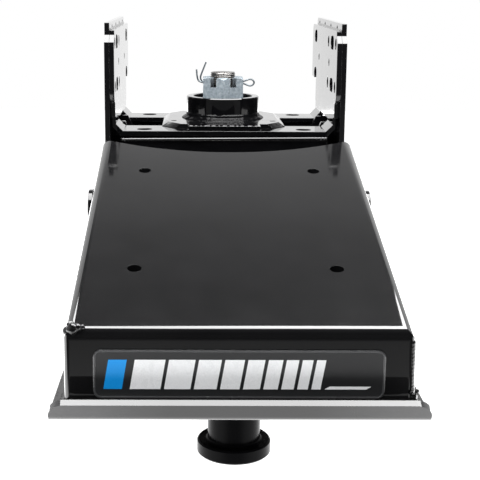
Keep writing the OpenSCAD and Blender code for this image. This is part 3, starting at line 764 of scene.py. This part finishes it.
def spindle():
    """The turned spindle, with a rolled helical thread on its stud."""
    low, high = corners("spindle")
    turntable_low, turntable_high = corners("turntable_plate")
    shoulder = corners("nut_washer")[0].z
    center = (low + high) / 2
    run = 31.75 * MM
    stud = 17.45 * MM
    foot = (high.x - low.x) / 2
    bm = bmesh.new()
    lathe(bm, center, [
        (0, low.z + 8 * MM), (10 * MM, low.z + 8 * MM), (10 * MM, low.z + 0.8 * MM),
        (10.8 * MM, low.z), (foot - 1 * MM, low.z), (foot, low.z + 1 * MM),
        (foot, turntable_low.z), (45 * MM, turntable_low.z), (45 * MM, turntable_high.z),
        (run, turntable_high.z), (run, shoulder - 1.5 * MM), (run - 1.5 * MM, shoulder),
        (stud - 1.3 * MM, shoulder), (stud - 1.3 * MM, high.z - 3 * MM), (0, high.z - 3 * MM),
    ])
    keep_edges(piece("spindle_turned", bm, "turned_steel", "arm", ["spindle"]))

    pitch = 2.6 * MM
    depth = 1.25 * MM
    start = shoulder + 2 * MM
    chamfer = 1.0 * MM
    sides = 120
    bm = bmesh.new()
    rings = []
    steps = round((high.z - start) / (0.26 * MM))
    for i in range(steps + 1):
        z = start + (high.z - start) * i / steps
        limit = stud - max(0.0, z - (high.z - chamfer))
        ring = []
        for k in range(sides):
            turn = k / sides
            phase = ((z - start) / pitch - turn) % 1.0
            crest = min(1.0, max(0.0, 1.25 - abs(phase - 0.5) * 2.7))
            radius = min(limit, stud - depth + depth * crest)
            a = 2 * math.pi * turn
            ring.append(bm.verts.new(Vector((
                center.x + radius * math.cos(a), center.y + radius * math.sin(a), z
            ))))
        rings.append(ring)
    skin(bm, rings, False)
    keep_edges(piece("stud_thread", bm, "turned_steel", "arm", finish=STUD), 50)


def spline(points, per=10):
    """A smooth curve through points."""
    out = []
    ends = [2 * points[0] - points[1]] + points + [2 * points[-1] - points[-2]]
    for i in range(1, len(ends) - 2):
        a, b, c, d = ends[i - 1:i + 3]
        for k in range(per):
            t = k / per
            out.append(0.5 * (
                2 * b + (c - a) * t + (2 * a - 5 * b + 4 * c - d) * t * t
                + (3 * b - a - 3 * c + d) * t ** 3
            ))
    out.append(points[-1])
    return out


def cotter_pin():
    """A split pin: half-round wire bent into an eye, with its two legs bent up round the nut."""
    nut_low, nut_high = corners("castle_nut")
    pin_high = corners("cotter_pin")[1]
    half = (nut_high.x - nut_low.x) / 2 / MM
    eye_x = (pin_high.x - 1.2 * MM) / MM
    axis = Vector((0, (nut_low.y + nut_high.y) / 2, nut_high.z - 7.5 * MM))
    gap = 1.1
    shape = [
        (-half + 4, 28, 1.0), (-half, 18, 1.0), (-half - 3.6, 8, 1.0), (-half - 2.4, 2.8, gap),
        (-half + 3, 0.9, gap), (-half / 2, 0.7, gap), (0, 0.7, gap), (half / 2, 0.7, gap),
        (half - 2, 0.8, gap), (half + 4, 2.6, 0.4), (half + 9.5, 4.5, 0), (half + 13.8, 3.6, 0),
        (eye_x, 0, 0), (half + 13.8, -3.6, 0), (half + 9.5, -4.5, 0), (half + 4, -2.6, -0.4),
        (half - 2, -0.8, -gap), (half / 2, -0.7, -gap), (0, -0.7, -gap), (-half / 2, -0.7, -gap),
        (-half + 3, -0.6, -gap), (-half - 2, 0.2, -gap), (-half - 6.6, 2.6, -1.1),
        (-half - 8.6, 9, -1.1), (-half - 9.4, 18, -1.1),
    ]
    points = spline([axis + Vector((x, y, z)) * MM for x, z, y in shape])
    bm = bmesh.new()
    rings = []
    sides = 14
    previous = None
    for i, point in enumerate(points):
        along = (points[min(i + 1, len(points) - 1)] - points[max(i - 1, 0)]).normalized()
        normal = Y - along * along.dot(Y) if previous is None else previous - along * along.dot(previous)
        normal.normalize()
        side = along.cross(normal)
        previous = normal
        ring = []
        for j in range(sides):
            a = 2 * math.pi * j / sides
            ring.append(bm.verts.new(point + (normal * math.cos(a) + side * math.sin(a)) * 1.2 * MM))
        rings.append(ring)
    skin(bm, rings, False)
    keep_edges(piece("cotter_wire", bm, "zinc_plate", "arm", ["cotter_pin"], WIRE), 60)


# ------------------------------------------------------------------ badge

def badge_shape(name, outline, low, high, depth, finish):
    """A thin printed or embossed shape on the badge; the outline is in fractions of its face."""
    bm = bmesh.new()
    size = high - low
    front = low.y - depth * MM
    back = low.y + 0.2 * MM
    rings = []
    for y in (front, back):
        rings.append([
            bm.verts.new(Vector((low.x + size.x * u, y, low.z + size.z * v))) for u, v in outline
        ])
    skin(bm, rings, False)
    return keep_edges(piece(name, bm, "badge_film", "arm", finish=finish))


def badge():
    """A blue bar and a row of slanted pale bars, inside a fine raised border."""
    low, high = corners("badge_plate")
    lean = 0.018
    foot = 0.2
    head = 0.8

    def slanted(u0, u1, v0=foot, v1=head):
        return [(u0, v0), (u1, v0), (u1 + lean, v1), (u0 + lean, v1)]

    badge_shape("badge_bar_blue", slanted(0.035, 0.098), low, high, 0.12, INK_BLUE)
    u = 0.125
    wide = 0.105
    count = 9
    for i in range(count):
        badge_shape("badge_bar_%d" % (i + 1), slanted(u, u + wide), low, high, 0.12, INK_PALE)
        u += wide + 0.012
        wide *= 0.86
    badge_shape("badge_rule", slanted(u + 0.002, 0.935, 0.2, 0.26), low, high, 0.12, INK_PALE)

    radius = 7 * MM
    line = []
    inset = 1.4 * MM
    for cx, cz, start in (
        (high.x - radius, high.z - radius, 0), (low.x + radius, high.z - radius, 90),
        (low.x + radius, low.z + radius, 180), (high.x - radius, low.z + radius, 270),
    ):
        for k in range(13):
            a = math.radians(start + 90 * k / 12)
            line.append(Vector((
                cx + (radius - inset) * math.cos(a), low.y, cz + (radius - inset) * math.sin(a)
            )))
    bm = bmesh.new()
    rings = []
    for i, point in enumerate(line):
        along = (line[(i + 1) % len(line)] - line[i - 1]).normalized()
        side = along.cross(Y)
        rings.append([
            bm.verts.new(point + (side * math.cos(a) * 0.9 - Y * math.sin(a) * 0.35) * MM)
            for a in (2 * math.pi * j / 10 for j in range(10))
        ])
    skin(bm, rings, True)
    piece("badge_border", bm, "badge_film", "arm", finish=INK_EDGE)


arm_welds()
rear_base_welds()
cross_tube_welds()
housing_welds()
wing_welds()
spindle()
cotter_pin()
badge()


# ------------------------------------------------------------------ stage, light, camera

def pale_stage():
    """A pale floor well below the part, bright enough to run into the studio's white."""
    bm = bmesh.new()
    half = 9.0
    level = -0.75
    square = ((-half, -half), (half, -half), (half, half), (-half, half))
    bm.faces.new([bm.verts.new((x, y, level)) for x, y in square])
    mesh = bpy.data.meshes.new("floor")
    bm.to_mesh(mesh)
    bm.free()
    floor = bpy.data.objects.new("floor", mesh)
    bpy.context.scene.collection.objects.link(floor)
    n = Nodes("pale_floor")
    axes = n.add("ShaderNodeSeparateXYZ", Vector=n.here)
    sideways = n.math("ABSOLUTE", axes.outputs["X"])
    depth = n.math("MAXIMUM", n.math("MULTIPLY", axes.outputs["Y"], -1.0), 0.2)
    ahead = n.span(depth, 1.2, 2.3, 0.0, 0.9)
    far = n.span(depth, 2.2, 2.9, 0.0, 0.08)
    middle = n.span(n.math("DIVIDE", sideways, depth), 0.6, 1.3, 1.0, 0.0)
    shade = n.math("MULTIPLY", n.math("ADD", ahead, far), middle)
    beside = n.span(sideways, 0.5, 1.4, 1.5, 5.0)
    near = n.span(n.math("MAXIMUM", sideways, depth), 3.0, 5.0, 1.0, 0.0)
    bounce = n.math("MULTIPLY", n.math("MULTIPLY", n.math("SUBTRACT", 1.0, shade), beside), near)
    n.surface(
        Base_Color=n.blend(n.noise(1.2, 3), (0.5, 0.5, 0.5), (0.54, 0.54, 0.54)),
        Roughness=0.8,
        Specular_IOR_Level=0.0,
        Emission_Color=(1, 1, 1),
        Emission_Strength=n.for_camera(1.0, bounce),
    )
    n.bump((n.noise(40, 3), 0.05, 0.001))
    mesh.materials.append(n.mat)


def studio_world():
    """A studio that is white behind and beside the part and dark above it."""
    world = bpy.data.worlds.new("studio")
    bpy.context.scene.world = world
    world.use_nodes = True
    tree = world.node_tree
    tree.nodes.clear()

    def add(kind, **settings):
        node = tree.nodes.new(kind)
        for key, value in settings.items():
            setattr(node, key, value)
        return node

    def span(value, low, high, to_low, to_high):
        node = add("ShaderNodeMapRange", interpolation_type="SMOOTHSTEP")
        tree.links.new(value, node.inputs[0])
        for index, number in enumerate((low, high, to_low, to_high), start=1):
            node.inputs[index].default_value = number
        return node.outputs[0]

    def join(operation, a, b):
        node = add("ShaderNodeMath", operation=operation)
        tree.links.new(a, node.inputs[0])
        if isinstance(b, float):
            node.inputs[1].default_value = b
        else:
            tree.links.new(b, node.inputs[1])
        return node.outputs[0]

    coords = add("ShaderNodeTexCoord")
    axes = add("ShaderNodeSeparateXYZ")
    tree.links.new(coords.outputs["Generated"], axes.inputs[0])
    wall = span(axes.outputs["Z"], 0.42, 0.72, 0.95, 0.06)
    behind = span(axes.outputs["Y"], -0.75, -0.1, 0.06, 1.0)
    sky = join("MULTIPLY", wall, behind)
    seen = add("ShaderNodeLightPath")
    mix = add("ShaderNodeMix", data_type="FLOAT")
    tree.links.new(seen.outputs["Is Camera Ray"], mix.inputs[0])
    tree.links.new(sky, mix.inputs[2])
    mix.inputs[3].default_value = 1.0
    light = add("ShaderNodeBackground")
    light.inputs["Color"].default_value = (1, 1, 1, 1)
    tree.links.new(mix.outputs[0], light.inputs["Strength"])
    out = add("ShaderNodeOutputWorld")
    tree.links.new(light.outputs[0], out.inputs["Surface"])


def soft_box(name, place, target, size, power, glossy=True):
    """A rectangular studio light; one that isn't glossy lights surfaces without showing in them."""
    light = bpy.data.lights.new(name, "AREA")
    light.shape = "RECTANGLE"
    light.size, light.size_y = size
    light.energy = power
    obj = bpy.data.objects.new(name, light)
    bpy.context.scene.collection.objects.link(obj)
    obj.location = place
    obj.rotation_euler = (Vector(target) - Vector(place)).to_track_quat("-Z", "Y").to_euler()
    obj.visible_glossy = glossy
    return obj


def camera():
    """A long lens in front of and above the part; the picture is cropped from a wider one."""
    pitch, yaw, roll = (math.radians(a) for a in (12.1062, 0.6088, 0.356))
    forward = Vector((
        math.sin(yaw) * math.cos(pitch), math.cos(yaw) * math.cos(pitch), -math.sin(pitch)
    ))
    level = Vector((math.cos(yaw), -math.sin(yaw), 0))
    above = level.cross(forward)
    right = level * math.cos(roll) + above * math.sin(roll)
    up = above * math.cos(roll) - level * math.sin(roll)
    cam = bpy.data.cameras.new("camera")
    cam.lens = 83.92
    cam.sensor_width = 36
    cam.shift_x = 0.07
    cam.shift_y = -0.03398
    cam.clip_end = 50
    obj = bpy.data.objects.new("camera", cam)
    obj.matrix_world = Matrix.Translation((-0.0387945, -1.0217087, 0.3616701)) @ Matrix((
        (right.x, up.x, -forward.x, 0),
        (right.y, up.y, -forward.y, 0),
        (right.z, up.z, -forward.z, 0),
        (0, 0, 0, 1),
    ))
    bpy.context.scene.collection.objects.link(obj)
    bpy.context.scene.camera = obj


pale_stage()
studio_world()
overhead = soft_box("overhead", (0.05, 0.22, 0.9), (0.05, 0.22, 0), (1.3, 0.73), 46)
overhead.rotation_euler = (0, 0, math.radians(9))
soft_box("front_fill", (-0.9, -1.9, 1.1), (0, 0, 0.05), (1.4, 1.0), 42, glossy=False)
camera()
bpy.context.scene.view_settings.view_transform = "Standard"
